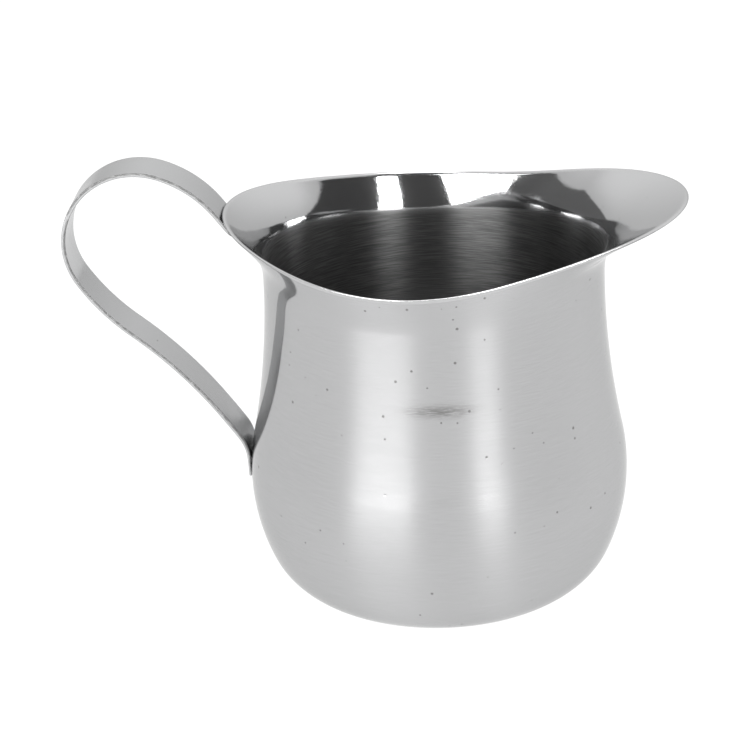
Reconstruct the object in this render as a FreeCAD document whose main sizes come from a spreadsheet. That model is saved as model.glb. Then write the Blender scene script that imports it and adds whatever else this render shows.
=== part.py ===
import FreeCAD, Part
import math
import os

import Sketcher
from FreeCAD import Vector, Rotation, Placement

# Steel cream jug: a deep-drawn single-wall shell with a flared, saddle-shaped lip, and a flat
# strap handle spot-welded under the lip and on the belly. Units are millimetres.
# Z points up, the jug stands on Z = 0, its axis is the Z axis, the spout points to +X and the
# handle is on the -X side.

DIMENSIONS = {
    # the drawn shell
    "wall": 0.6,
    "neck_radius": 32.4,
    "neck_height": 63.3,
    "belly_radius": 36.5,
    "belly_curve": 38.4,
    "corner_curve": 13.45,
    "standing_radius": 21.0,
    "recess_radius": 16.5,
    "recess_slope": 1.5,
    "recess_depth": 0.8,
    # the flared lip: plan radius and height of its edge every 45 degrees, from the spout round
    "lip_radius_spout": 48.1,
    "lip_radius_front": 37.3,
    "lip_radius_side": 34.7,
    "lip_radius_rear": 36.2,
    "lip_radius_back": 39.7,
    "lip_height_spout": 78.2,
    "lip_height_front": 74.5,
    "lip_height_side": 71.3,
    "lip_height_rear": 73.2,
    "lip_height_back": 76.0,
    # where the neck turns out into the lip, and how sharply
    "crease_height": 64.8,
    "crease_follow": 1.15,
    "crease_tightness": 0.8,
    # the handle strap
    "strap_width": 9.5,
    "strap_thickness": 0.8,
    "strap_corner": 2.5,
    "strap_edge": 0.2,
    "weld_gap": 0.1,
    "tab_bottom": 21.8,
    "tab_top": 26.6,
    "bend_curve": 7.8,
    "leg_lower_curve": 84.8,
    "leg_upper_curve": 43.4,
    "leg_turn_height": 52.3,
    "loop_curve": 14.2,
    "loop_height": 70.5,
    "loop_reach": 55.7,
    "crown_curve": 21.9,
    "weld_slope": 52.4,
    "weld_end_height": 71.8,
    # the spot welds
    "nugget_radius": 1.3,
    "nugget_reach": 0.3,
    "nugget_spacing": 4.4,
    "tab_nugget_height": 24.2,
    "lip_nugget_rise": 2.6,
}

LIP_STATIONS = ("spout", "front", "side", "rear", "back")
LIP_COLUMNS = 36
LIP_ROWS = 20

# Directions of travel along the handle, in degrees from +X, from which its sketch starts.
LEG_START_HEADING = 121
LEG_TURN_HEADING = 143
LEG_END_HEADING = 124
CROWN_HEADING = -18

doc = FreeCAD.newDocument("cream_jug")


def make_sheet():
    sheet = doc.addObject("Spreadsheet::Sheet", "dims")
    for row, (alias, value) in enumerate(DIMENSIONS.items(), start=1):
        sheet.set(f"A{row}", alias)
        sheet.set(f"B{row}", str(value))
        sheet.setAlias(f"B{row}", alias)
    doc.recompute()
    return sheet


sheet = make_sheet()


def size(alias):
    return float(sheet.get(alias))


def new_body(name):
    body = doc.addObject("PartDesign::Body", name)
    body.Label = name
    return body


def plane(body, role):
    return next(feature for feature in body.Origin.OriginFeatures if feature.Role == role)


def new_sketch(body, name, role):
    sketch = body.newObject("Sketcher::SketchObject", name)
    sketch.AttachmentSupport = [(plane(body, role), "")]
    sketch.MapMode = "FlatFace"
    return sketch


def drive(sketch, kind, where, value, expression):
    """Add a dimension that starts at value and follows the sheet."""
    index = sketch.addConstraint(Sketcher.Constraint(kind, *where, value))
    sketch.setExpression(f"Constraints[{index}]", expression)


START, END, CENTRE = 1, 2, 3
ORIGIN = (-1, 1)


def arc(centre, radius, first, last):
    """Counter-clockwise sketch arc between two angles in degrees."""
    circle = Part.Circle(Vector(centre[0], centre[1], 0), Vector(0, 0, 1), radius)
    return Part.ArcOfCircle(circle, math.radians(first), math.radians(last))


def line(start, end):
    return Part.LineSegment(Vector(*start, 0), Vector(*end, 0))


# ---------------------------------------------------------------- the drawn shell, below the lip

def pot_outline(body, name, inset):
    """Half section of the pot out to its surface moved inwards by inset, closed on the axis.

    From the axis: the recessed panel, its slope, the standing ring, the corner, the belly and
    the waist, which ends upright at the neck.
    """
    sketch = new_sketch(body, name, "XZ_Plane")
    corner = size("corner_curve")
    belly = size("belly_curve")
    standing = size("standing_radius")
    centre_x = size("belly_radius") - belly
    centre_z = corner + math.sqrt((belly - corner) ** 2 - (standing - centre_x) ** 2)
    neck_rise = size("neck_height") - centre_z
    neck_in = size("neck_radius") - centre_x
    waist = (neck_rise ** 2 + neck_in ** 2 - belly ** 2) / (2 * (belly - neck_in))
    low = math.degrees(math.atan2(corner - centre_z, standing - centre_x))
    high = math.degrees(math.asin(neck_rise / (belly + waist)))
    waist_x = size("neck_radius") + waist
    slope_end = size("recess_radius") + size("recess_slope")
    neck = (size("neck_radius") - inset, size("neck_height"))
    recess = size("recess_depth") + inset

    panel = sketch.addGeometry(line((0, recess), (size("recess_radius"), recess)))
    slope = sketch.addGeometry(line((size("recess_radius"), recess), (slope_end, inset)))
    ring = sketch.addGeometry(line((slope_end, inset), (standing, inset)))
    foot = sketch.addGeometry(arc((standing, corner), corner - inset, -90, low))
    side = sketch.addGeometry(arc((centre_x, centre_z), belly - inset, low, high))
    neck_arc = sketch.addGeometry(
        arc((waist_x, size("neck_height")), waist + inset, 180, 180 + high))
    top = sketch.addGeometry(line(neck, (0, neck[1])))
    axis = sketch.addGeometry(line((0, neck[1]), (0, recess)))

    for first, second in ((panel, slope), (slope, ring), (top, axis), (axis, panel)):
        sketch.addConstraint(Sketcher.Constraint("Coincident", first, END, second, START))
    sketch.addConstraint(Sketcher.Constraint("Tangent", ring, END, foot, START))
    sketch.addConstraint(Sketcher.Constraint("Tangent", foot, END, side, START))
    sketch.addConstraint(Sketcher.Constraint("Tangent", side, END, neck_arc, END))
    sketch.addConstraint(Sketcher.Constraint("Perpendicular", neck_arc, START, top, START))
    for level in (panel, ring, top):
        sketch.addConstraint(Sketcher.Constraint("Horizontal", level))
    sketch.addConstraint(Sketcher.Constraint("PointOnObject", axis, START, -2))
    sketch.addConstraint(Sketcher.Constraint("PointOnObject", axis, END, -2))

    thin = f" - {inset:g} / {size('wall'):g} * dims.wall"
    thick = f" + {inset:g} / {size('wall'):g} * dims.wall"
    drive(sketch, "DistanceX", (*ORIGIN, panel, END), size("recess_radius"), "dims.recess_radius")
    drive(sketch, "DistanceY", (*ORIGIN, panel, END), recess, "dims.recess_depth" + thick)
    drive(sketch, "DistanceX", (*ORIGIN, slope, END), slope_end,
          "dims.recess_radius + dims.recess_slope")
    drive(sketch, "DistanceX", (*ORIGIN, ring, END), standing, "dims.standing_radius")
    drive(sketch, "DistanceY", (*ORIGIN, foot, CENTRE), corner, "dims.corner_curve")
    drive(sketch, "Radius", (foot,), corner - inset, "dims.corner_curve" + thin)
    drive(sketch, "Radius", (side,), belly - inset, "dims.belly_curve" + thin)
    drive(sketch, "DistanceX", (side, CENTRE, *ORIGIN), -centre_x,
          "dims.belly_curve - dims.belly_radius")
    drive(sketch, "DistanceX", (*ORIGIN, top, START), neck[0], "dims.neck_radius" + thin)
    drive(sketch, "DistanceY", (*ORIGIN, top, START), neck[1], "dims.neck_height")
    return sketch


def make_pot():
    """The pot below the lip: its outside turned as a solid, its inside cut out of it."""
    body = new_body("pot")
    outside = pot_outline(body, "pot_outside", 0.0)
    turned = body.newObject("PartDesign::Revolution", "pot_turned")
    turned.Profile = outside
    turned.ReferenceAxis = (outside, ["V_Axis"])
    turned.Angle = 360.0
    doc.recompute()
    solid_volume = body.Shape.Volume
    inside = pot_outline(body, "pot_inside", size("wall"))
    hollow = body.newObject("PartDesign::Groove", "pot_hollow")
    hollow.Profile = inside
    hollow.ReferenceAxis = (inside, ["V_Axis"])
    hollow.Angle = 360.0
    doc.recompute()
    assert body.Shape.Volume < 0.2 * solid_volume, "the pot was not hollowed"
    return body


# ---------------------------------------------------------------- the flared lip

def around(quantity, angle):
    """Cosine series through a quantity's five stations, 45 degrees apart from the spout back."""
    values = [size(f"lip_{quantity}_{station}") for station in LIP_STATIONS]
    last = len(values) - 1
    total = 0.0
    for order in range(last + 1):
        share = 0.5 if order in (0, last) else 1.0
        for station, value in enumerate(values):
            part = 0.5 if station in (0, last) else 1.0
            wave = math.cos(order * station * math.pi / last)
            total += 2.0 / last * share * part * value * wave * math.cos(order * angle)
    return total


def lip_section(angle):
    """Control points (radius, height) of the lip's outside, from the neck up to the edge.

    The section leaves the neck upright and turns out at the crease towards the edge.
    """
    edge = (around("radius", angle), around("height", angle))
    rise = size("crease_follow") * (edge[1] - size("lip_height_side"))
    neck = (size("neck_radius"), size("neck_height"))
    crease = (size("neck_radius"), size("crease_height") + rise)
    pull = size("crease_tightness")
    lower = (neck[0], neck[1] + pull * (crease[1] - neck[1]))
    upper = (edge[0] + pull * (crease[0] - edge[0]), edge[1] + pull * (crease[1] - edge[1]))
    return neck, lower, upper, edge


def lip_point(angle, share):
    """Point on the lip's outside: share runs from 0 at the neck to 1 at the edge."""
    weights = [math.comb(3, power) * share ** power * (1 - share) ** (3 - power)
               for power in range(4)]
    section = lip_section(angle)
    radius = sum(weight * point[0] for weight, point in zip(weights, section))
    height = sum(weight * point[1] for weight, point in zip(weights, section))
    return Vector(radius * math.cos(angle), radius * math.sin(angle), height)


def lip_inside_point(angle, share):
    """The same point moved through the wall along the surface's normal."""
    step = 1e-4
    across = lip_point(angle + step, share) - lip_point(angle - step, share)
    along = lip_point(angle, share + step) - lip_point(angle, share - step)
    return lip_point(angle, share) - across.cross(along).normalize() * size("wall")


def lip_face(point_at):
    """Smooth face through the points of one half of the lip, from the spout to the back."""
    grid = [[point_at(math.pi * column / LIP_COLUMNS, row / LIP_ROWS)
             for row in range(LIP_ROWS + 1)]
            for column in range(LIP_COLUMNS + 1)]
    surface = Part.BSplineSurface()
    surface.interpolate(grid)
    return surface.toShape()


def level_edge(face, height_test):
    """The long edge of a lip face whose ends pass the test on their height."""
    return next(edge for edge in face.Edges
                if edge.Length > 2 * size("neck_radius")
                and all(height_test(vertex.Z) for vertex in edge.Vertexes))


def make_lip():
    """The lip, drawn out of the neck: two mirrored halves sewn into one solid."""
    neck = size("neck_height")
    outside = lip_face(lip_point)
    inside = lip_face(lip_inside_point)
    edges = [level_edge(face, lambda height: height > neck + 1) for face in (outside, inside)]
    feet = [level_edge(face, lambda height: height < neck + 1) for face in (outside, inside)]
    half = [outside, inside, Part.makeRuledSurface(*edges)]
    gaps = [Part.makeLine(feet[0].Vertexes[end].Point, feet[1].Vertexes[end].Point)
            for end in (0, 1)]
    half.append(Part.Face(Part.Wire(Part.sortEdges([*feet, *gaps])[0])))
    mirrored = [face.mirror(Vector(0, 0, 0), Vector(0, 1, 0)) for face in half]
    skin = Part.makeShell(half + mirrored)
    skin.sewShape()
    solid = Part.makeSolid(skin)
    if solid.Volume < 0:
        solid.reverse()
    lip = doc.addObject("Part::Feature", "lip")
    lip.Shape = solid
    return lip


def make_body_shell():
    """One sheet: the pot and the lip drawn out of its neck."""
    shell = doc.addObject("Part::Fuse", "body_shell")
    shell.Label = "body_shell"
    shell.Base = make_pot()
    shell.Tool = make_lip()
    shell.Refine = True
    doc.recompute()
    return shell


# ---------------------------------------------------------------- the handle

def unit(degrees):
    return Vector(math.cos(math.radians(degrees)), math.sin(math.radians(degrees)), 0)


def lip_edge_back():
    """The lip's edge at the back, in the jug's plane of symmetry."""
    return Vector(-size("lip_radius_back"), 0, size("lip_height_back"))


def up_weld():
    """Direction up and out along the weld under the lip."""
    slope = math.radians(size("weld_slope"))
    return Vector(-math.cos(slope), 0, math.sin(slope))


def strap_offset():
    """From the shell's outside to the middle of the strap's thickness."""
    return size("weld_gap") + size("strap_thickness") / 2


def bend(sketch, start, heading, next_heading, radius):
    """Add an arc that leaves start along heading and turns to next_heading.

    Headings are in degrees, counter-clockwise from +X. Returns the arc's index, its two ends
    in the order of travel and the point where it stops.
    """
    side = 90 if next_heading > heading else -90
    centre = start + unit(heading + side) * radius
    stop = centre - unit(next_heading + side) * radius
    angles = sorted((heading - side, next_heading - side))
    index = sketch.addGeometry(arc((centre.x, centre.y), radius, *angles))
    ends = (START, END) if side > 0 else (END, START)
    return index, ends, stop


def handle_path(body):
    """Middle line of the strap in the jug's plane of symmetry, from the belly to the lip.

    An upright tab on the belly, a small bend, the leg in two slow opposite curves, the loop,
    the crown that comes down from it, and the straight end under the lip.
    """
    sketch = new_sketch(body, "handle_path", "XZ_Plane")
    tab_x = -(size("belly_radius") + strap_offset())
    start = Vector(tab_x, size("tab_top"), 0)
    edge = lip_edge_back()
    slope = size("weld_slope")
    turns = (
        ("bend_curve", 90, LEG_START_HEADING),
        ("leg_lower_curve", LEG_START_HEADING, LEG_TURN_HEADING),
        ("leg_upper_curve", LEG_TURN_HEADING, LEG_END_HEADING),
        ("loop_curve", LEG_END_HEADING, CROWN_HEADING),
        ("crown_curve", CROWN_HEADING, -slope),
    )
    tab = sketch.addGeometry(line((tab_x, size("tab_bottom")), (tab_x, size("tab_top"))))
    sketch.addConstraint(Sketcher.Constraint("Vertical", tab))
    last = (tab, END)
    joints = []
    for radius, heading, next_heading in turns:
        index, ends, start = bend(sketch, start, heading, next_heading, size(radius))
        sketch.addConstraint(Sketcher.Constraint("Tangent", *last, index, ends[0]))
        drive(sketch, "Radius", (index,), size(radius), f"dims.{radius}")
        last = (index, ends[1])
        joints.append(last)
    leg_turn, loop = joints[1], joints[3]
    stop = start + unit(-slope) * ((start.y - size("weld_end_height")) / -unit(-slope).y)
    end = sketch.addGeometry(line((start.x, start.y), (stop.x, stop.y)))
    sketch.addConstraint(Sketcher.Constraint("Tangent", *last, end, START))

    lip = sketch.addGeometry(Part.Point(Vector(edge.x, edge.z, 0)), True)
    drive(sketch, "DistanceX", (lip, START, *ORIGIN), -edge.x, "dims.lip_radius_back")
    drive(sketch, "DistanceY", (*ORIGIN, lip, START), edge.z, "dims.lip_height_back")
    drive(sketch, "Distance", (lip, START, end), strap_offset(),
          "dims.weld_gap + dims.strap_thickness / 2")
    drive(sketch, "Angle", (end,), -math.radians(slope), "-dims.weld_slope * 1 deg")

    offset = "dims.weld_gap + dims.strap_thickness / 2"
    drive(sketch, "DistanceX", (tab, START, *ORIGIN), -tab_x, f"dims.belly_radius + {offset}")
    drive(sketch, "DistanceY", (*ORIGIN, tab, START), size("tab_bottom"), "dims.tab_bottom")
    drive(sketch, "DistanceY", (*ORIGIN, tab, END), size("tab_top"), "dims.tab_top")
    drive(sketch, "DistanceY", (*ORIGIN, *leg_turn), size("leg_turn_height"),
          "dims.leg_turn_height")
    drive(sketch, "DistanceX", (loop[0], CENTRE, *ORIGIN), size("loop_reach"),
          "dims.loop_reach")
    drive(sketch, "DistanceY", (*ORIGIN, loop[0], CENTRE), size("loop_height"),
          "dims.loop_height")
    drive(sketch, "DistanceY", (*ORIGIN, end, END), size("weld_end_height"),
          "dims.weld_end_height")
    return sketch


def strap_section(body):
    """Cross-section of the strap at the bottom of its tab."""
    sketch = new_sketch(body, "strap_section", "XY_Plane")
    sketch.AttachmentOffset = Placement(Vector(0, 0, size("tab_bottom")), Rotation())
    sketch.setExpression("AttachmentOffset.Base.z", "dims.tab_bottom")
    outer = -(size("belly_radius") + size("weld_gap") + size("strap_thickness"))
    inner = outer + size("strap_thickness")
    half = size("strap_width") / 2
    corners = [(outer, -half), (inner, -half), (inner, half), (outer, half)]
    sides = [sketch.addGeometry(line(corner, corners[(number + 1) % 4]))
             for number, corner in enumerate(corners)]
    for number, side in enumerate(sides):
        following = sides[(number + 1) % 4]
        sketch.addConstraint(Sketcher.Constraint("Coincident", side, END, following, START))
    for number, direction in ((0, "Horizontal"), (2, "Horizontal"), (3, "Vertical")):
        sketch.addConstraint(Sketcher.Constraint(direction, sides[number]))
    sketch.addConstraint(Sketcher.Constraint("Symmetric", sides[1], START, sides[1], END, -1))
    drive(sketch, "DistanceX", (sides[0], END, *ORIGIN), -inner,
          "dims.belly_radius + dims.weld_gap")
    drive(sketch, "DistanceX", (sides[0], START, sides[0], END), size("strap_thickness"),
          "dims.strap_thickness")
    drive(sketch, "DistanceY", (sides[1], START, sides[1], END), size("strap_width"),
          "dims.strap_width")
    return sketch


def follows_outline(edge, strap):
    """True for an edge between one of the strap's two broad sides and its narrow rim."""
    faces = strap.ancestorsOfType(edge, Part.Face)
    spans = [face.BoundBox.YLength > size("strap_width") - 0.01 for face in faces]
    return spans.count(True) == 1


def make_handle_strap():
    """The strap: its section carried along the path, with its end corners and rims eased."""
    body = new_body("handle_strap")
    path = handle_path(body)
    section = strap_section(body)
    doc.recompute()
    strap = body.newObject("PartDesign::AdditivePipe", "strap")
    strap.Profile = section
    strap.Spine = path
    doc.recompute()
    corners = body.newObject("PartDesign::Fillet", "strap_corners")
    across = [f"Edge{number}" for number, edge in enumerate(strap.Shape.Edges, start=1)
              if abs(edge.Length - size("strap_thickness")) < 0.01]
    corners.Base = (strap, across)
    corners.setExpression("Radius", "dims.strap_corner")
    doc.recompute()
    rims = body.newObject("PartDesign::Fillet", "strap_rims")
    outline = [f"Edge{number}" for number, edge in enumerate(corners.Shape.Edges, start=1)
               if follows_outline(edge, corners.Shape)]
    rims.Base = (corners, outline)
    rims.setExpression("Radius", "dims.strap_edge")
    doc.recompute()
    return body


# ---------------------------------------------------------------- the spot welds

def make_nugget(name, centre, turn, shell, strap):
    """The fused metal of one spot weld, between the shell's outside and the strap.

    A short bar across the gap, turned about Y by turn degrees from Z, less both sheets.
    """
    bar = doc.addObject("Part::Cylinder", f"{name}_bar")
    bar.setExpression("Radius", "dims.nugget_radius")
    bar.setExpression("Height", "dims.weld_gap + 2 * dims.nugget_reach")
    rotation = Rotation(Vector(0, 1, 0), turn)
    length = size("weld_gap") + 2 * size("nugget_reach")
    bar.Placement = Placement(centre - rotation.multVec(Vector(0, 0, length / 2)), rotation)
    clear = doc.addObject("Part::Cut", f"{name}_off_shell")
    clear.Base = bar
    clear.Tool = shell
    nugget = doc.addObject("Part::Cut", name)
    nugget.Label = name
    nugget.Base = clear
    nugget.Tool = strap
    return nugget


def make_nuggets(shell, strap):
    """Two spot welds side by side on the belly, and two under the lip.

    Left is +Y, as seen by a person who holds the handle and pours towards +X.
    """
    nuggets = []
    middle = size("weld_gap") / 2
    up_lip = up_weld()
    outwards = Vector(-up_lip.z, 0, up_lip.x)
    foot = lip_edge_back()
    foot -= up_lip * ((foot.z - size("weld_end_height")) / up_lip.z)
    places = {
        "belly": (Vector(-size("belly_radius") - middle, 0, size("tab_nugget_height")), -90),
        "lip": (foot + up_lip * size("lip_nugget_rise") + outwards * middle,
                -math.degrees(math.atan2(-outwards.x, outwards.z))),
    }
    for place, (centre, turn) in places.items():
        for side, name in ((1, "left"), (-1, "right")):
            across = Vector(0, side * size("nugget_spacing") / 2, 0)
            nuggets.append(
                make_nugget(f"{place}_weld_{name}", centre + across, turn, shell, strap))
    doc.recompute()
    return nuggets


# ---------------------------------------------------------------- checks and export

def check(parts):
    """Stop before anything is written if a feature failed or a sub-part is not a sound solid."""
    for thing in doc.Objects:
        assert not {"Invalid", "Error"} & set(thing.State), f"{thing.Name}: {thing.State}"
    for part in parts:
        shape = part.Shape
        assert not shape.isNull() and shape.isValid(), part.Label
        assert len(shape.Solids) == 1 and shape.Volume > 0, part.Label


body_shell = make_body_shell()
handle_strap = make_handle_strap()
parts = [body_shell, handle_strap, *make_nuggets(body_shell, handle_strap)]
doc.recompute()
check(parts)
os.makedirs("parts", exist_ok=True)
for part in parts:
    part.Shape.exportStep(f"parts/{part.Label}.step")
    print(part.Label, round(part.Shape.Volume, 2), part.Shape.BoundBox)
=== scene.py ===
import math

import bpy
from mathutils import Matrix, Vector, noise


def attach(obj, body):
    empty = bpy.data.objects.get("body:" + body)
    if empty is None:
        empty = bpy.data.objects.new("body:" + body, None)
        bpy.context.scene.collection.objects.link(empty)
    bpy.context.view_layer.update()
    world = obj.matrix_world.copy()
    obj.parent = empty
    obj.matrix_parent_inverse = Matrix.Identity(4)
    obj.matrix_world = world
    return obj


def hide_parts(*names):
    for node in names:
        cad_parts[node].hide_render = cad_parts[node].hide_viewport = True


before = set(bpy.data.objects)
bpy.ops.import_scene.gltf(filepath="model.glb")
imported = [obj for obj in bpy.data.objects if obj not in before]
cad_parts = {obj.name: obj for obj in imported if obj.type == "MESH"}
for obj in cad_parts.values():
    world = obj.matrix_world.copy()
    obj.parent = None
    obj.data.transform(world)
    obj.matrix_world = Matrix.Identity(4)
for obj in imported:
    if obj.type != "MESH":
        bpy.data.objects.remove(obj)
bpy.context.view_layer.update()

# A steel cream jug: a drawn shell with a flared lip, and a flat strap handle spot-welded to it.
# Everything is in metres, Z up, spout towards +X, handle on the -X side, standing on Z = 0.
# Sizes below are the CAD model's, written in millimetres and multiplied by MM.

MM = 0.001

# the drawn shell, below the lip
WALL = 0.6
NECK_RADIUS, NECK_HEIGHT = 32.4, 63.3
BELLY_RADIUS, BELLY_CURVE = 36.5, 38.4
CORNER_CURVE, STANDING_RADIUS = 13.45, 21.0
RECESS_RADIUS, RECESS_SLOPE, RECESS_DEPTH = 16.5, 1.5, 0.8

# the lip: plan radius and height of its edge every 45 degrees, from the spout round to the back
LIP_RADII = (48.1, 37.3, 34.7, 36.2, 39.7)
LIP_HEIGHTS = (78.2, 74.5, 71.3, 73.2, 76.0)
LIP_SIDE = 2
CREASE_HEIGHT, CREASE_FOLLOW, CREASE_PULL = 64.8, 1.15, 0.8
# its rounded edge: how far the rounding reaches, and how deep on the outside and the inside
EDGE_REACH, EDGE_DEPTH_OUTSIDE, EDGE_DEPTH_INSIDE = 0.7, 0.13, 0.4

# the handle strap
STRAP_WIDTH, STRAP_THICKNESS = 9.5, 0.8
STRAP_CORNER, STRAP_EASING = 2.5, 0.2
WELD_GAP = 0.1
TAB_BOTTOM, TAB_TOP = 21.8, 26.6
WELD_END_HEIGHT = 71.8
TAB_WELD_HEIGHT, TAB_WELD_SPACING = 24.2, 4.4
# its bends from the tab up: radius, and the heading it turns to, in degrees from +X
STRAP_START_HEADING = 90.0
STRAP_BENDS = ((7.8, 122.554), (84.8, 142.342), (43.4, 123.599), (14.2, -18.187), (21.9, -52.4))

# what the press leaves on the tab: dimples over the welds, and a flattened end that fades out
DIMPLE_DEPTH, DIMPLE_FLAT, DIMPLE_RADIUS = 0.08, 0.8, 1.5
PRESS_DEPTH, PRESS_START, PRESS_STOP = 0.36, 1.0, 9.0
# where the tab stops hugging the belly, in lengths of the tab
HUG_START, HUG_STOP = 0.6, 3.2

# how far from true the work is, each as how quickly it wavers and how deeply: the sheet, slowly
# and quickly, the trimmed edge of the lip as a share of its rounding, and the strap's rims
SLOW_WAVES, QUICK_WAVES = (0.11, 0.022), (0.31, 0.006)
EDGE_TRIM = (9.0, 0.035)
RIM_FLUTTER = (0.9, 0.03)
# distances from the strap's middle line between which that shearing comes in
FLUTTER_START, FLUTTER_STOP = 3.0, 4.6

# how finely the shell is divided: round it, then up its section from the base to the edge
COLUMNS = 384
PANEL_STEPS, SLOPE_STEPS, RING_STEPS = 14, 12, 6
CORNER_STEPS, BELLY_STEPS, WAIST_STEPS = 22, 56, 36
LIP_STEPS, EDGE_TURNS = 56, 5
# the step of the lip that its crease lies on
CREASE_STEP = 19
# how finely the strap is divided: along it in millimetres, then round its section
STRAP_STEP = 0.35
FACE_STEPS, EASE_STEPS, RIM_STEPS = 26, 4, 4
# extra places near each end of the strap, at these distances from it
END_DISTANCES = (0.0, 0.02, 0.05, 0.1, 0.15, 0.2, 0.3, 0.42, 0.6, 0.8, 1.0, 1.25, 1.6, 2.0)

# each material's place in its piece's list: the shell's, then the strap's
OUTSIDE, INSIDE, EDGE = 0, 1, 2
FACE, RIM = 0, 1


# ------------------------------------------------------------------------------ small helpers

def smooth(low, high, value):
    """0 below low and 1 above high, with an even S between them."""
    share = min(max((value - low) / (high - low), 0.0), 1.0)
    return share * share * (3.0 - 2.0 * share)


def add_mesh(name, points, faces, slots, materials, coords):
    """A smooth-shaded piece from points in mm, with one material slot and UV per face corner."""
    mesh = bpy.data.meshes.new(name)
    mesh.from_pydata([Vector(point) * MM for point in points], [], faces)
    for material in materials:
        mesh.materials.append(material)
    mesh.polygons.foreach_set("material_index", slots)
    mesh.polygons.foreach_set("use_smooth", [True] * len(faces))
    layer = mesh.uv_layers.new(name="surface")
    layer.data.foreach_set("uv", [value for face in coords for pair in face for value in pair])
    mesh.validate()
    mesh.update()
    piece = bpy.data.objects.new(name, mesh)
    bpy.context.scene.collection.objects.link(piece)
    return piece


# ------------------------------------------------------------------------------ materials

class Nodes:
    """The node tree of a material or world, with short calls for the nodes it is made of."""

    def __init__(self, owner, output="ShaderNodeOutputMaterial"):
        owner.use_nodes = True
        self.owner = owner
        self.tree = owner.node_tree
        self.tree.nodes.clear()
        self.output = self.add(output)

    def add(self, kind, **settings):
        node = self.tree.nodes.new(kind)
        for key, value in settings.items():
            setattr(node, key, value)
        return node

    def put(self, socket, value):
        if isinstance(value, bpy.types.NodeSocket):
            self.tree.links.new(value, socket)
        else:
            socket.default_value = value

    def math(self, operation, first, second=0.0):
        node = self.add("ShaderNodeMath", operation=operation)
        for socket, value in zip(node.inputs, (first, second)):
            self.put(socket, value)
        return node.outputs[0]

    def ramp(self, value, low, high, start=0.0, stop=1.0):
        """From start, where the value is low, to stop, where it is high, by an even S."""
        node = self.add("ShaderNodeMapRange", interpolation_type="SMOOTHSTEP")
        for socket, number in zip(node.inputs, (value, low, high, start, stop)):
            self.put(socket, number)
        return node.outputs[0]

    def join(self, x, y, z):
        node = self.add("ShaderNodeCombineXYZ")
        for socket, value in zip(node.inputs, (x, y, z)):
            self.put(socket, value)
        return node.outputs[0]

    def split(self, vector):
        node = self.add("ShaderNodeSeparateXYZ")
        self.put(node.inputs[0], vector)
        return node.outputs

    def noise(self, vector, scale, detail=2.0, rough=0.5):
        node = self.add("ShaderNodeTexNoise")
        self.put(node.inputs["Vector"], vector)
        node.inputs["Scale"].default_value = scale
        node.inputs["Detail"].default_value = detail
        node.inputs["Roughness"].default_value = rough
        return node.outputs["Fac"]

    def spread(self, pattern, start, stop):
        """The common values of a noise pattern, spread from start to stop."""
        return self.ramp(pattern, 0.3, 0.7, start, stop)

    def object_place(self):
        return self.add("ShaderNodeTexCoord").outputs["Object"]

    def surface_place(self):
        return self.add("ShaderNodeUVMap", uv_map="surface").outputs[0]

    def bump(self, height, distance, strength=1.0, under=None):
        node = self.add("ShaderNodeBump")
        node.inputs["Distance"].default_value = distance
        self.put(node.inputs["Strength"], strength)
        self.put(node.inputs["Height"], height)
        if under is not None:
            self.put(node.inputs["Normal"], under)
        return node.outputs[0]

    def metal(self, colour, rough, normal, anisotropy=0.0, turn=0.0, tangent=None, bare=1.0):
        node = self.add("ShaderNodeBsdfPrincipled")
        self.put(node.inputs["Metallic"], bare)
        node.inputs["Specular Tint"].default_value = EDGE_TINT
        node.inputs["Anisotropic"].default_value = anisotropy
        node.inputs["Anisotropic Rotation"].default_value = turn
        self.put(node.inputs["Base Color"], colour)
        self.put(node.inputs["Roughness"], rough)
        self.put(node.inputs["Normal"], normal)
        if tangent is not None:
            self.put(node.inputs["Tangent"], tangent)
        return node.outputs[0]

    def mix(self, share, first, second):
        node = self.add("ShaderNodeMixShader")
        for socket, value in zip(node.inputs, (share, first, second)):
            self.put(socket, value)
        return node.outputs[0]

    def mix_colour(self, share, first, second):
        node = self.add("ShaderNodeMix", data_type="RGBA")
        for name, value in (("Factor_Float", share), ("A_Color", first), ("B_Color", second)):
            self.put(next(s for s in node.inputs if s.identifier == name), value)
        return next(s for s in node.outputs if s.identifier == "Result_Color")

    def done(self, surface):
        self.put(self.output.inputs["Surface"], surface)
        return self.owner


def material_nodes(name):
    return Nodes(bpy.data.materials.new(name))


STEEL = (0.525, 0.527, 0.531, 1.0)
OUTSIDE_STEEL = (0.465, 0.467, 0.47, 1.0)
# the steel's colour darkened down in the bowl: painted shade of the deep inside
BOWL_PAINTED_SHADE_STEEL = (0.185, 0.185, 0.185, 1.0)
STRAP_STEEL = (0.51, 0.513, 0.517, 1.0)
STEEL_DARK = (0.14, 0.135, 0.13, 1.0)
TORN_STEEL = (0.1, 0.1, 0.1, 1.0)
# along the strap, in metres from its tab: where the torn side of its rims changes over
TORN_CHANGES = (0.064, 0.070)
# how bright the metals are where the surface turns away, next to a perfect mirror
EDGE_TINT = (0.8, 0.8, 0.8, 1.0)
# a quarter of a turn, which spreads reflections across turned grooves
ACROSS_THE_GROOVES = 0.25
# the painted reflection of the dark room behind the camera, on the belly: bearing and half width
# round it in radians, height in metres
DARK_REFLECTION_BEARING, DARK_REFLECTION_HALF_WIDTH = math.radians(-85.0), 0.15
DARK_REFLECTION_HEIGHT, DARK_REFLECTION_HALF_HEIGHT = 48.9 * MM, 1.1 * MM


def ring_place(nodes, around, along):
    """A place on the shell for patterns that run round it: stretched round, fine up and down.

    Around is the pattern's radius for one turn of the shell, and along its length for a metre.
    """
    turn, run, _ = nodes.split(nodes.surface_place())
    angle = nodes.math("MULTIPLY", turn, 2 * math.pi)
    return nodes.join(
        nodes.math("MULTIPLY", nodes.math("COSINE", angle), around),
        nodes.math("MULTIPLY", nodes.math("SINE", angle), around),
        nodes.math("MULTIPLY", run, along))


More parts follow.
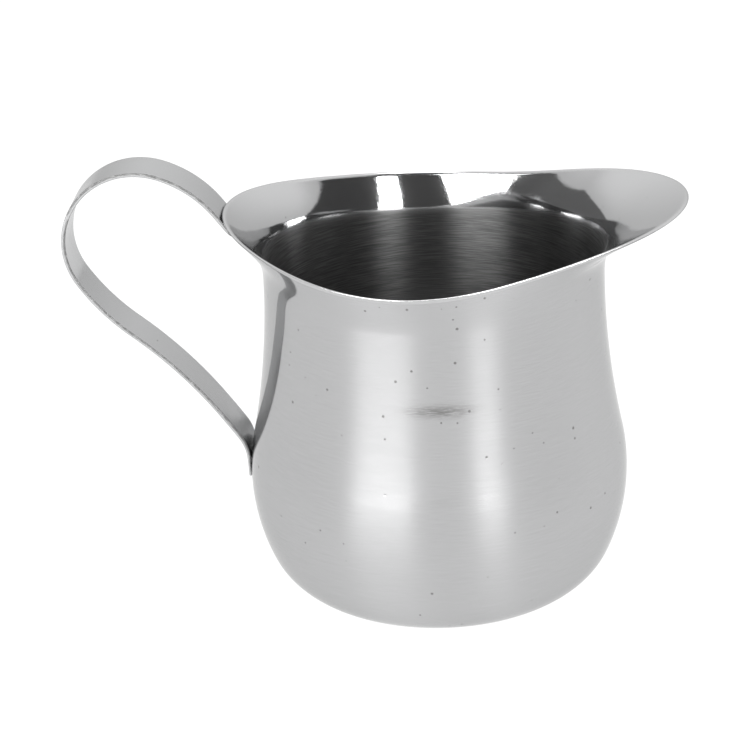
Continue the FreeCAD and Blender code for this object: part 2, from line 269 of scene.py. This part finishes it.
def specks(nodes, scale, radius, share):
    """1 at small round pits scattered over a surface, 0 elsewhere.

    There are scale cells to the metre, and this share of them holds a pit. The largest pits have
    the radius given, in metres, and the smallest under half of it.
    """
    cells = nodes.add("ShaderNodeTexVoronoi")
    nodes.put(cells.inputs["Vector"], nodes.object_place())
    cells.inputs["Scale"].default_value = scale
    picked = nodes.math("LESS_THAN", nodes.split(cells.outputs["Color"])[0], share)
    size = nodes.ramp(nodes.split(cells.outputs["Color"])[1], 0.0, 1.0, 0.45 * radius, radius)
    near = nodes.math("DIVIDE", cells.outputs["Distance"], nodes.math("MULTIPLY", size, scale))
    return nodes.math("MULTIPLY", nodes.ramp(near, 0.6, 1.0, 1.0, 0.0), picked)


def painted_dark_reflection(nodes):
    """Painted reflection of the dark room behind the camera on the front of the belly: short
    level streaks that fade at the ends.
    """
    x, y, z = nodes.split(nodes.object_place())
    angle = nodes.math("ARCTAN2", y, x)
    off = nodes.math("DIVIDE", nodes.math("SUBTRACT", angle, DARK_REFLECTION_BEARING), DARK_REFLECTION_HALF_WIDTH)
    level = nodes.math("DIVIDE", nodes.math("SUBTRACT", z, DARK_REFLECTION_HEIGHT), DARK_REFLECTION_HALF_HEIGHT)
    spread = nodes.math("ADD", nodes.math("POWER", off, 2.0), nodes.math("POWER", level, 2.0))
    fade = nodes.math("EXPONENT", nodes.math("MULTIPLY", spread, -1.0))
    streaks = nodes.noise(ring_place(nodes, 14.0, 5200.0), 1.0, 3.0, 0.7)
    return nodes.math("MULTIPLY", fade, nodes.ramp(streaks, 0.3, 0.6))


def radial_tangent(nodes):
    return nodes.add("ShaderNodeTangent", direction_type="RADIAL", axis="Z").outputs[0]


def outside_steel():
    """A polish with a share of fine turned brushing, scattered pits and one patch of painted
    reflection.
    """
    nodes = material_nodes("shell_outside_steel")
    fine = nodes.noise(ring_place(nodes, 9.0, 9000.0), 1.0, 3.0, 0.6)
    wide = nodes.noise(ring_place(nodes, 3.0, 900.0), 1.0, 3.0, 0.6)
    cloud = nodes.noise(nodes.object_place(), 90.0, 3.0, 0.55)
    pits = specks(nodes, 380.0, 0.00036, 0.4)
    # painted reflection of the dark room behind the camera, darkening the colour in level streaks
    reflected_dark = painted_dark_reflection(nodes)
    # the real pits and the painted reflection both darken the colour here
    dark = nodes.math("MAXIMUM", nodes.math("MULTIPLY", pits, 0.75),
                      nodes.math("MULTIPLY", reflected_dark, 0.85))
    colour = nodes.mix_colour(dark, OUTSIDE_STEEL, STEEL_DARK)
    normal = nodes.bump(nodes.math("ADD", fine, wide), 0.0000008)
    normal = nodes.bump(pits, -0.00006, 0.15, normal)
    polish = nodes.metal(colour, nodes.spread(cloud, 0.06, 0.09), normal)
    brushed = nodes.metal(colour, nodes.spread(wide, 0.38, 0.42), normal, 0.88,
                          ACROSS_THE_GROOVES, radial_tangent(nodes))
    return nodes.done(nodes.mix(nodes.spread(fine, 0.17, 0.25), polish, brushed))


def inside_steel():
    """A mirror polish on the flare, and a streakier turned finish down in the bowl, where the
    colour is darkened as painted shade.
    """
    nodes = material_nodes("shell_inside_steel")
    fine = nodes.noise(ring_place(nodes, 5.0, 5200.0), 1.0, 4.0, 0.65)
    wide = nodes.noise(ring_place(nodes, 5.0, 1300.0), 1.0, 3.0, 0.6)
    run = nodes.split(nodes.surface_place())[1]
    bowl = nodes.ramp(run, CREASE_RUN - 0.6 * MM, CREASE_RUN + 1.8 * MM)
    pits = specks(nodes, 260.0, 0.0002, 0.6)
    # down in the bowl the steel colour is darkened: painted shade of the recess, the same steel
    # as the flare
    bare = nodes.mix_colour(bowl, STEEL, BOWL_PAINTED_SHADE_STEEL)
    colour = nodes.mix_colour(nodes.math("MULTIPLY", pits, 0.7), bare, STEEL_DARK)
    grain = nodes.noise(nodes.object_place(), 1500.0, 3.0, 0.6)
    normal = nodes.bump(nodes.math("ADD", fine, wide), 0.000001)
    normal = nodes.bump(grain, 0.000009, 1.0, normal)
    rough = nodes.math("ADD", nodes.spread(wide, 0.05, 0.08),
                       nodes.math("MULTIPLY", bowl, 0.16))
    polish = nodes.metal(colour, rough, normal)
    brushed = nodes.metal(colour, nodes.spread(fine, 0.4, 0.5), normal, 0.96,
                          ACROSS_THE_GROOVES, radial_tangent(nodes))
    haze = nodes.math("ADD", 0.06, nodes.math("MULTIPLY", bowl,
                                              nodes.ramp(fine, 0.35, 0.7, 0.4, 0.85)))
    return nodes.done(nodes.mix(haze, polish, brushed))


def lip_edge_steel():
    """The trimmed edge, polished with a few darker scratches across it."""
    nodes = material_nodes("lip_edge_steel")
    grain = nodes.noise(ring_place(nodes, 260.0, 4000.0), 1.0, 4.0, 0.7)
    colour = nodes.mix_colour(nodes.ramp(grain, 0.55, 0.75, 0.0, 0.5), STEEL, STEEL_DARK)
    normal = nodes.bump(grain, 0.00002, 0.5)
    return nodes.done(nodes.metal(colour, nodes.spread(grain, 0.14, 0.26), normal))


def strap_face_steel():
    """Broad sides of the strap: a satin polish with fine lines along it."""
    nodes = material_nodes("strap_face_steel")
    along, across, _ = nodes.split(nodes.surface_place())
    lines = nodes.noise(nodes.join(nodes.math("MULTIPLY", along, 90.0),
                                   nodes.math("MULTIPLY", across, 9000.0), 0.0), 1.0, 3.0, 0.6)
    cloud = nodes.noise(nodes.object_place(), 140.0, 3.0, 0.55)
    pits = specks(nodes, 330.0, 0.0003, 0.6)
    colour = nodes.mix_colour(nodes.math("MULTIPLY", pits, 0.7), STRAP_STEEL, STEEL_DARK)
    normal = nodes.bump(lines, 0.0000015)
    normal = nodes.bump(cloud, 0.00002, 0.25, normal)
    return nodes.done(nodes.metal(colour, nodes.spread(cloud, 0.17, 0.27), normal))


def strap_rim_steel():
    """Sheared rims: one half burnished, the other torn and dark.

    The torn half lies next to the inner face up the legs and next to the outer face on the crown.
    """
    nodes = material_nodes("strap_rim_steel")
    along, across, _ = nodes.split(nodes.surface_place())
    tear = nodes.noise(nodes.join(nodes.math("MULTIPLY", along, 900.0),
                                  nodes.math("MULTIPLY", across, 2500.0), 0.0), 1.0, 4.0, 0.7)
    wander = nodes.noise(nodes.join(nodes.math("MULTIPLY", along, 220.0), 0.0, 0.0), 1.0, 2.0)
    inwards = nodes.math("SUBTRACT", nodes.math("ABSOLUTE", across), STRAP_WIDTH / 2 * MM)
    inwards = nodes.math("ADD", inwards, nodes.ramp(wander, 0.2, 0.8, -0.0001, 0.0001))
    towards = nodes.math("MULTIPLY", inwards, nodes.ramp(along, *TORN_CHANGES, 1.0, -1.0))
    torn = nodes.math("MULTIPLY", nodes.ramp(towards, -0.00008, 0.00008),
                      nodes.ramp(tear, 0.3, 0.6, 0.7, 1.0))
    colour = nodes.mix_colour(torn, STRAP_STEEL, TORN_STEEL)
    normal = nodes.bump(tear, 0.00002, nodes.math("MULTIPLY", torn, 0.6))
    return nodes.done(nodes.metal(colour, nodes.ramp(torn, 0.0, 1.0, 0.24, 0.6), normal,
                                  bare=nodes.ramp(torn, 0.0, 1.0, 1.0, 0.1)))


def weld_steel():
    """Fused metal: grainy and partly dark."""
    nodes = material_nodes("weld_steel")
    grain = nodes.noise(nodes.object_place(), 2500.0, 4.0, 0.7)
    colour = nodes.mix_colour(nodes.ramp(grain, 0.4, 0.7), STEEL, STEEL_DARK)
    normal = nodes.bump(grain, 0.00005, 0.6)
    return nodes.done(nodes.metal(colour, nodes.spread(grain, 0.35, 0.55), normal))


# ------------------------------------------------------------------------------ the drawn shell

def pot_rows():
    """Section of the shell below the lip, from the middle of the base to the neck.

    Each row is radius, height, and the outward direction through the sheet.
    """
    rows = []
    slope_end = RECESS_RADIUS + RECESS_SLOPE
    for step in range(1, PANEL_STEPS):
        rows.append((RECESS_RADIUS * step / PANEL_STEPS, RECESS_DEPTH, 0.0, -1.0))
    for step in range(SLOPE_STEPS + 1):
        radius = RECESS_RADIUS + RECESS_SLOPE * step / SLOPE_STEPS
        height = RECESS_DEPTH * (1.0 - smooth(RECESS_RADIUS, slope_end, radius))
        rows.append((radius, height, 0.0, -1.0))
    for step in range(1, RING_STEPS):
        radius = slope_end + (STANDING_RADIUS - slope_end) * step / RING_STEPS
        rows.append((radius, 0.0, 0.0, -1.0))

    belly_x = BELLY_RADIUS - BELLY_CURVE
    belly_z = CORNER_CURVE + math.sqrt((BELLY_CURVE - CORNER_CURVE) ** 2
                                       - (STANDING_RADIUS - belly_x) ** 2)
    rise, reach = NECK_HEIGHT - belly_z, NECK_RADIUS - belly_x
    waist = (rise ** 2 + reach ** 2 - BELLY_CURVE ** 2) / (2 * (BELLY_CURVE - reach))
    low = math.atan2(CORNER_CURVE - belly_z, STANDING_RADIUS - belly_x)
    high = math.asin(rise / (BELLY_CURVE + waist))
    for step in range(CORNER_STEPS):
        angle = -math.pi / 2 + (low + math.pi / 2) * step / CORNER_STEPS
        rows.append((STANDING_RADIUS + CORNER_CURVE * math.cos(angle),
                     CORNER_CURVE + CORNER_CURVE * math.sin(angle),
                     math.cos(angle), math.sin(angle)))
    for step in range(BELLY_STEPS):
        angle = low + (high - low) * step / BELLY_STEPS
        rows.append((belly_x + BELLY_CURVE * math.cos(angle),
                     belly_z + BELLY_CURVE * math.sin(angle), math.cos(angle), math.sin(angle)))
    for step in range(WAIST_STEPS):
        angle = high * (1.0 - step / WAIST_STEPS)
        rows.append((NECK_RADIUS + waist - waist * math.cos(angle),
                     NECK_HEIGHT - waist * math.sin(angle), math.cos(angle), math.sin(angle)))
    return rows


POT_ROWS = pot_rows()


def around(stations, angle):
    """Cosine series through five stations, 45 degrees apart from the spout to the back."""
    last = len(stations) - 1
    total = 0.0
    for order in range(last + 1):
        share = 0.5 if order in (0, last) else 1.0
        for station, value in enumerate(stations):
            part = 0.5 if station in (0, last) else 1.0
            wave = math.cos(order * station * math.pi / last)
            total += 2.0 / last * share * part * value * wave * math.cos(order * angle)
    return total


def lip_section(angle):
    """Control points (radius, height) of the lip's outside from the neck up to its edge."""
    edge = (around(LIP_RADII, angle), around(LIP_HEIGHTS, angle))
    crease = (NECK_RADIUS, CREASE_HEIGHT + CREASE_FOLLOW * (edge[1] - LIP_HEIGHTS[LIP_SIDE]))
    lower = (NECK_RADIUS, NECK_HEIGHT + CREASE_PULL * (crease[1] - NECK_HEIGHT))
    upper = tuple(edge[i] + CREASE_PULL * (crease[i] - edge[i]) for i in (0, 1))
    return (NECK_RADIUS, NECK_HEIGHT), lower, upper, edge


def on_curve(points, share):
    """Point and direction of a cubic curve."""
    rest = 1.0 - share
    weights = (rest ** 3, 3 * share * rest ** 2, 3 * share ** 2 * rest, share ** 3)
    slopes = (-3 * rest ** 2, 3 * rest ** 2 - 6 * share * rest,
              6 * share * rest - 3 * share ** 2, 3 * share ** 2)
    place = [sum(w * p[i] for w, p in zip(weights, points)) for i in (0, 1)]
    run = [sum(w * p[i] for w, p in zip(slopes, points)) for i in (0, 1)]
    return place, run


def lip_shares(section):
    """Shares along the lip's section, ending where the eased edge begins."""
    run = on_curve(section, 1.0)[1]
    last = 1.0 - EDGE_REACH / math.hypot(*run)
    return [last * step / LIP_STEPS for step in range(LIP_STEPS + 1)]


def unevenness(point, reach):
    """Height of the waves, about 0.02 mm deep, that drawing and polishing leave in a sheet."""
    (slow_rate, slow_depth), (quick_rate, quick_depth) = SLOW_WAVES, QUICK_WAVES
    slow = noise.noise(Vector(point) * slow_rate) * slow_depth
    quick = noise.noise(Vector(point) * quick_rate + Vector((7.0, 3.0, 5.0))) * quick_depth
    return (slow + quick) * reach


def shell_column(angle):
    """The points of the shell at one angle, in three lists.

    They are the outside from the base up, the rounded edge, and the inside back down.
    """
    cos, sin = math.cos(angle), math.sin(angle)
    outer, inner = [], []
    for radius, height, out, up in POT_ROWS:
        point = Vector((radius * cos, radius * sin, height))
        normal = Vector((out * cos, out * sin, up))
        push = unevenness(point, smooth(2.0, 12.0, height))
        outer.append(point + normal * push)
        inner.append(point + normal * (push - WALL))
    section = lip_section(angle)
    step = 1e-4
    beside = lip_section(angle + step)
    for share in lip_shares(section):
        (radius, height), (run_r, run_z) = on_curve(section, share)
        radius_beside, height_beside = on_curve(beside, share)[0]
        point = Vector((radius * cos, radius * sin, height))
        other = Vector((radius_beside * math.cos(angle + step),
                        radius_beside * math.sin(angle + step), height_beside))
        along = Vector((run_r * cos, run_r * sin, run_z))
        normal = (other - point).cross(along).normalized()
        push = unevenness(point, 1.0 - smooth(0.8, 1.0, share))
        outer.append(point + normal * push)
        inner.append(point + normal * (push - WALL))
    onward = along.normalized()
    turns, share = EDGE_TRIM
    trim = share * noise.noise(Vector((cos * turns, sin * turns, 2.0)))
    bends = [math.pi / 2 * turn / EDGE_TURNS for turn in range(1, EDGE_TURNS + 1)]
    edge = [(EDGE_REACH * math.sin(bend), EDGE_DEPTH_OUTSIDE * (1.0 - math.cos(bend)))
            for bend in bends]
    edge += [(EDGE_REACH * math.sin(bend), WALL - EDGE_DEPTH_INSIDE * (1.0 - math.cos(bend)))
             for bend in reversed(bends)]
    rim = [outer[-1] + onward * (out * (1.0 + trim)) - normal * depth for out, depth in edge]
    return outer, rim, list(reversed(inner))


def runs_along(column):
    """Distance in metres from the start of a column of points to each of them."""
    points = [point for part in column for point in part]
    runs = [0.0]
    for here, there in zip(points, points[1:]):
        runs.append(runs[-1] + (there - here).length * MM)
    return runs


FIRST_COLUMN = shell_column(0.0)
RUNS = runs_along(FIRST_COLUMN)
# where the lip's crease lies on the inside, as a distance along the section
CREASE_RUN = RUNS[len(FIRST_COLUMN[0]) + len(FIRST_COLUMN[1]) + LIP_STEPS - CREASE_STEP]


def make_shell(materials):
    """The jug's shell as one closed sheet of constant thickness."""
    columns = [shell_column(2 * math.pi * column / COLUMNS) for column in range(COLUMNS)]
    outer_count, rim_count = len(columns[0][0]), len(columns[0][1])
    row_count = 2 * outer_count + rim_count
    points = [point for outer, rim, inner in columns for point in (*outer, *rim, *inner)]
    faces, slots, coords = [], [], []
    edge_rows = range(outer_count - 1, outer_count + rim_count)
    for column in range(COLUMNS):
        following = (column + 1) % COLUMNS
        turns = (column / COLUMNS, (column + 1) / COLUMNS)
        for row in range(row_count - 1):
            here, there = column * row_count + row, following * row_count + row
            faces.append((here, there, there + 1, here + 1))
            slots.append(EDGE if row in edge_rows else OUTSIDE if row < outer_count else INSIDE)
            coords.append(((turns[0], RUNS[row]), (turns[1], RUNS[row]),
                           (turns[1], RUNS[row + 1]), (turns[0], RUNS[row + 1])))
    for height, row, slot in ((RECESS_DEPTH, 0, OUTSIDE),
                              (RECESS_DEPTH + WALL, row_count - 1, INSIDE)):
        middle = len(points)
        points.append(Vector((0.0, 0.0, height)))
        for column in range(COLUMNS):
            following = (column + 1) % COLUMNS
            pair = (column * row_count + row, following * row_count + row)
            turns = (column / COLUMNS, (column + 1) / COLUMNS)
            if slot == OUTSIDE:
                pair, turns = pair[::-1], turns[::-1]
            faces.append((middle, *pair))
            slots.append(slot)
            run = RUNS[row]
            coords.append(((turns[0], run), (turns[0], run), (turns[1], run)))
    return add_mesh("jug_shell", points, faces, slots, materials, coords)


# ------------------------------------------------------------------------------ the handle

def heading_vector(degrees):
    return Vector((math.cos(math.radians(degrees)), 0.0, math.sin(math.radians(degrees))))


def chord(first, last, length):
    """From the start of an arc of this length to its end, with headings in degrees."""
    turn = math.radians(last - first)
    if abs(turn) < 1e-9:
        return heading_vector(first) * length
    return heading_vector((first + last) / 2) * (2 * length / abs(turn) * math.sin(abs(turn) / 2))


def strap_line():
    """Places along the middle of the strap, and its length.

    Each place is a point, the heading there in degrees, and the distance from the tab's bottom.
    """
    tab_x = -(BELLY_RADIUS + WELD_GAP + STRAP_THICKNESS / 2)
    spans = [(TAB_TOP - TAB_BOTTOM, STRAP_START_HEADING, STRAP_START_HEADING)]
    heading = STRAP_START_HEADING
    for radius, next_heading in STRAP_BENDS:
        turn = abs(math.radians(next_heading - heading))
        spans.append((radius * turn, heading, next_heading))
        heading = next_heading
    point, travelled = Vector((tab_x, 0.0, TAB_BOTTOM)), 0.0
    places = []
    for length, first, last in spans:
        count = max(2, round(length / STRAP_STEP))
        for number in range(count):
            share = number / count
            angle = first + (last - first) * share
            places.append((point + chord(first, angle, length * share), angle,
                           travelled + length * share))
        point = point + chord(first, last, length)
        travelled += length
    fall = point.z - WELD_END_HEIGHT
    length = fall / -heading_vector(heading).z
    count = round(length / STRAP_STEP)
    for number in range(count + 1):
        share = number / count
        places.append((point + heading_vector(heading) * (length * share), heading,
                       travelled + length * share))
    return places, travelled + length


def strap_ring(half_width, half_depth, ease):
    """Section of the strap as (across, depth, 1 on a rim), with depth above 0 on its outside."""
    ring = []
    flat = half_width - ease
    quarter = [math.pi / 2 * step / EASE_STEPS for step in range(1, EASE_STEPS)]
    wall = half_depth - ease
    for side in (1, -1):
        for step in range(FACE_STEPS + 1):
            ring.append((side * flat * (1 - 2 * step / FACE_STEPS), side * half_depth, 0))
        for angle in quarter:
            ring.append((-side * (flat + ease * math.sin(angle)),
                         side * (wall + ease * math.cos(angle)), 1))
        for step in range(RIM_STEPS + 1):
            ring.append((-side * half_width, side * wall * (1 - 2 * step / RIM_STEPS), 1))
        for angle in reversed(quarter):
            ring.append((-side * (flat + ease * math.sin(angle)),
                         -side * (wall + ease * math.cos(angle)), 1))
    return ring


def rounded_off(radius, distance):
    """What a rounded corner of this radius has taken off, at a distance from the end."""
    short = max(radius - distance, 0.0)
    return radius - math.sqrt(max(radius ** 2 - short ** 2, 0.0))


def end_shape(distance):
    """Half width and half depth of the strap at a distance from one of its rounded ends."""
    eased = rounded_off(STRAP_EASING, distance)
    half_width = STRAP_WIDTH / 2 - rounded_off(STRAP_CORNER, distance) - eased
    return half_width, STRAP_THICKNESS / 2 - eased


def with_end_places(places, length):
    """The same places with more of them near the ends, where the outline turns."""
    (first, up, _), (last, down, _) = places[0], places[-1]
    start = [(first + heading_vector(up) * distance, up, distance) for distance in END_DISTANCES]
    stop = [(last - heading_vector(down) * distance, down, length - distance)
            for distance in reversed(END_DISTANCES)]
    far = END_DISTANCES[-1]
    middle = [place for place in places if far < place[2] < length - far]
    return start + middle + stop


def weld_dimple(across, travelled):
    """Depth in mm of the electrodes' marks on the outside of the tab."""
    off = math.hypot(abs(across) - TAB_WELD_SPACING / 2, travelled - TAB_WELD_HEIGHT + TAB_BOTTOM)
    return DIMPLE_DEPTH * (1.0 - smooth(DIMPLE_FLAT, DIMPLE_RADIUS, off))


def tab_hug(across, travelled):
    """How far the tab's rims lean in to the round belly, in mm, fading out above the bend."""
    lean = BELLY_RADIUS - math.sqrt(BELLY_RADIUS ** 2 - across ** 2)
    tab = TAB_TOP - TAB_BOTTOM
    return lean * (1.0 - smooth(HUG_START * tab, HUG_STOP * tab, travelled))


def tab_press(depth, travelled):
    """How much the welding press has flattened the tab towards its end, in mm, from outside."""
    share = 0.5 + depth / STRAP_THICKNESS
    return PRESS_DEPTH * share * (1.0 - smooth(PRESS_START, PRESS_STOP, travelled))


def strap_point(point, heading, travelled, across, depth):
    """A point of the strap's surface, with the marks of shearing, bending and welding."""
    rate, reach = RIM_FLUTTER
    flutter = noise.noise(Vector((travelled * rate, 4.0, 1.0))) * reach
    sign = 1.0 if across > 0 else -1.0
    wide = across + sign * flutter * smooth(FLUTTER_START, FLUTTER_STOP, abs(across))
    sunk = weld_dimple(across, travelled) if depth > 0 else 0.0
    lean = tab_hug(across, travelled)
    pressed = tab_press(depth, travelled)
    out = heading_vector(heading + 90.0)
    return point + Vector((0.0, wide, 0.0)) + out * (depth - sunk - lean - pressed)


def strap_place(travelled, across, depth, rim):
    """Where a point lies on the strap's surface: metres along it, and across it or its rim."""
    side = math.copysign(1.0, across)
    return (travelled * MM, (across - side * depth * rim) * MM)


def make_strap(materials):
    """The handle as one closed surface, from the bottom of the tab to the end at the lip."""
    places, length = strap_line()
    points, rings = [], []
    for point, heading, travelled in with_end_places(places, length):
        half_width, half_depth = end_shape(min(travelled, length - travelled))
        ring = strap_ring(half_width, half_depth, min(STRAP_EASING, 0.8 * half_depth))
        points += [strap_point(point, heading, travelled, across, depth)
                   for across, depth, _ in ring]
        rings.append([(strap_place(travelled, *corner), corner[2]) for corner in ring])
    count = len(rings[0])
    faces, slots, coords = [], [], []
    for number, (ring, next_ring) in enumerate(zip(rings, rings[1:])):
        here, there = number * count, (number + 1) * count
        for index in range(count):
            following = (index + 1) % count
            faces.append((here + index, here + following, there + following, there + index))
            slots.append(RIM if ring[index][1] or ring[following][1] else FACE)
            coords.append((ring[index][0], ring[following][0],
                           next_ring[following][0], next_ring[index][0]))
    for number, loop in ((0, range(count)[::-1]), (len(rings) - 1, range(count))):
        faces.append(tuple(number * count + index for index in loop))
        slots.append(RIM)
        coords.append([rings[number][index][0] for index in loop])
    return add_mesh("jug_handle", points, faces, slots, materials, coords)


shell = make_shell([outside_steel(), inside_steel(), lip_edge_steel()])
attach(shell, "root")
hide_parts("body_shell")

handle = make_strap([strap_face_steel(), strap_rim_steel()])
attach(handle, "root")
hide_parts("handle_strap")

fused = weld_steel()
for name in ("lip_weld_left", "lip_weld_right", "belly_weld_left", "belly_weld_right"):
    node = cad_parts[name]
    node.data.materials.clear()
    node.data.materials.append(fused)


# ------------------------------------------------------------------------------ the studio

FLOOR_SIZE, FLOOR_DROP = 4.0, 0.02 * MM
FLOOR_GLOW = 0.96

# The room, in degrees: 0 is straight in front of the jug and 90 to its right. Its walls are dark
# below and pale above. Each of these is two bearings, and the height where the pale part starts
# at one and at the other.
LEFT_START = (-155.0, -105.0, -1.0, 36.0)
RIGHT_START = (76.0, 110.0, 33.0, 0.0)
# the same for what the front adds, on both sides alike
FRONT_START = (48.0, 60.0, 30.0, 0.0)
# how far the change from dark to pale takes, and the strip by the floor that stays pale
WALL_SOFTNESS = 1.5
TABLE_STRIP = (-1.0, 0.5)
# how bright: the dark part between two bearings, and the pale part between two heights above
# where it starts
DARK_GLOW = (-75.0, -30.0, 0.17, 0.06)
PALE_GLOW = (0.0, 34.0, 0.8, 1.14)

# the two softboxes in front of the jug, which hang level
SOFTBOX_DISTANCE, SOFTBOX_HEIGHT, SOFTBOX_TALL = 0.95, 0.34, 0.58


def make_floor():
    """A pale card that the jug stands on."""
    nodes = material_nodes("floor_card")
    grain = nodes.noise(nodes.object_place(), 60.0, 3.0)
    node = nodes.add("ShaderNodeBsdfPrincipled")
    node.inputs["Roughness"].default_value = 0.9
    node.inputs["Specular IOR Level"].default_value = 0.0
    nodes.put(node.inputs["Base Color"],
              nodes.mix_colour(grain, (0.09, 0.09, 0.09, 1.0), (0.11, 0.11, 0.11, 1.0)))
    node.inputs["Emission Color"].default_value = (1.0, 1.0, 1.0, 1.0)
    node.inputs["Emission Strength"].default_value = FLOOR_GLOW
    material = nodes.done(node.outputs[0])
    mesh = bpy.data.meshes.new("floor")
    half = FLOOR_SIZE / 2
    corners = [(x * half, y * half, -FLOOR_DROP) for x, y in ((-1, -1), (1, -1), (1, 1), (-1, 1))]
    mesh.from_pydata(corners, [], [(0, 1, 2, 3)])
    mesh.materials.append(material)
    floor = bpy.data.objects.new("floor", mesh)
    bpy.context.scene.collection.objects.link(floor)


def make_world():
    """A pale studio with a darker side in front, behind the camera."""
    world = bpy.data.worlds.new("studio")
    bpy.context.scene.world = world
    nodes = Nodes(world, "ShaderNodeOutputWorld")
    x, y, z = nodes.split(nodes.add("ShaderNodeTexCoord").outputs["Generated"])
    side = nodes.math("DEGREES", nodes.math("ARCTAN2", x, nodes.math("MULTIPLY", y, -1.0)))
    rise = nodes.math("DEGREES", nodes.math("ARCSINE", z))
    left = nodes.ramp(side, *LEFT_START)
    right = nodes.ramp(side, *RIGHT_START)
    front = nodes.ramp(nodes.math("ABSOLUTE", side), *FRONT_START)
    start = nodes.math("ADD", nodes.math("MINIMUM", left, right), front)
    above = nodes.math("SUBTRACT", rise, start)
    walls = nodes.ramp(above, -WALL_SOFTNESS, WALL_SOFTNESS)
    table = nodes.ramp(rise, *TABLE_STRIP, 1.0, 0.0)
    pale = nodes.math("MAXIMUM", walls, table)
    dim = nodes.ramp(side, *DARK_GLOW)
    glow = nodes.ramp(above, *PALE_GLOW)
    strength = nodes.ramp(pale, 0.0, 1.0, dim, glow)
    # seen directly, past the edge of the floor, the room is plain white
    seen = nodes.add("ShaderNodeLightPath").outputs["Is Camera Ray"]
    strength = nodes.math("MAXIMUM", strength, seen)
    background = nodes.add("ShaderNodeBackground")
    background.inputs["Color"].default_value = (1.0, 1.0, 1.0, 1.0)
    nodes.put(background.inputs["Strength"], strength)
    nodes.done(background.outputs[0])


def add_softbox(name, place, aim, wide, tall, radiance):
    """A soft lamp at a place, facing a point and not seen itself."""
    lamp = bpy.data.lights.new(name, "AREA")
    lamp.shape = "RECTANGLE"
    lamp.size, lamp.size_y = wide, tall
    lamp.energy = radiance * math.pi * wide * tall
    box = bpy.data.objects.new(name, lamp)
    box.location = place
    box.rotation_mode = "QUATERNION"
    box.rotation_quaternion = (Vector(aim) - Vector(place)).to_track_quat("-Z", "Y")
    box.visible_camera = False
    bpy.context.scene.collection.objects.link(box)


def add_front_softbox(name, side, wide, radiance):
    """A softbox side degrees to the right of straight in front of the jug."""
    angle = math.radians(side)
    place = (SOFTBOX_DISTANCE * math.sin(angle), -SOFTBOX_DISTANCE * math.cos(angle),
             SOFTBOX_HEIGHT)
    add_softbox(name, place, (0.0, 0.0, SOFTBOX_HEIGHT), wide, SOFTBOX_TALL, radiance)


make_floor()
make_world()
add_front_softbox("softbox_left", -30.0, 0.62, 13.5)
add_front_softbox("softbox_right", 34.5, 0.27, 14.5)
add_softbox("softbox_above", (0.0, 0.0, 1.0), (0.0, 0.0, 0.0), 0.5, 0.5, 6.0)
bpy.context.scene.view_settings.view_transform = "Standard"

# ------------------------------------------------------------------------------ the camera

# degrees to the right of straight in front, above level, and of tilt
CAMERA_SIDE, CAMERA_RISE, CAMERA_ROLL = 4.21, 23.51, 1.583
CAMERA_DISTANCE = 0.5983
CAMERA_LENS, SENSOR_WIDTH = 149.2, 36.0
# the point on the jug's axis that the distance is from, and how far off it the camera looks
MIDDLE_HEIGHT = 38.6 * MM
LOOK_RIGHT, LOOK_UP = -12.18 * MM, 3.37 * MM


def make_camera():
    side, rise, roll = map(math.radians, (CAMERA_SIDE, CAMERA_RISE, CAMERA_ROLL))
    back = Vector((math.sin(side) * math.cos(rise), -math.cos(side) * math.cos(rise),
                   math.sin(rise)))
    level = Vector((math.cos(side), math.sin(side), 0.0))
    above = back.cross(level)
    right = level * math.cos(roll) - above * math.sin(roll)
    up = level * math.sin(roll) + above * math.cos(roll)
    middle = Vector((0.0, 0.0, MIDDLE_HEIGHT))
    place = middle + back * CAMERA_DISTANCE
    aim = (middle + right * LOOK_RIGHT + up * LOOK_UP - place).normalized()
    right = aim.cross(up).normalized()
    up = right.cross(aim)
    data = bpy.data.cameras.new("camera")
    data.lens = CAMERA_LENS
    data.sensor_width = SENSOR_WIDTH
    data.clip_start, data.clip_end = 0.05, 20.0
    camera = bpy.data.objects.new("camera", data)
    turn = Matrix((right, up, -aim)).transposed()
    camera.matrix_world = Matrix.Translation(place) @ turn.to_4x4()
    bpy.context.scene.collection.objects.link(camera)
    bpy.context.scene.camera = camera


make_camera()

bpy.context.view_layer.update()
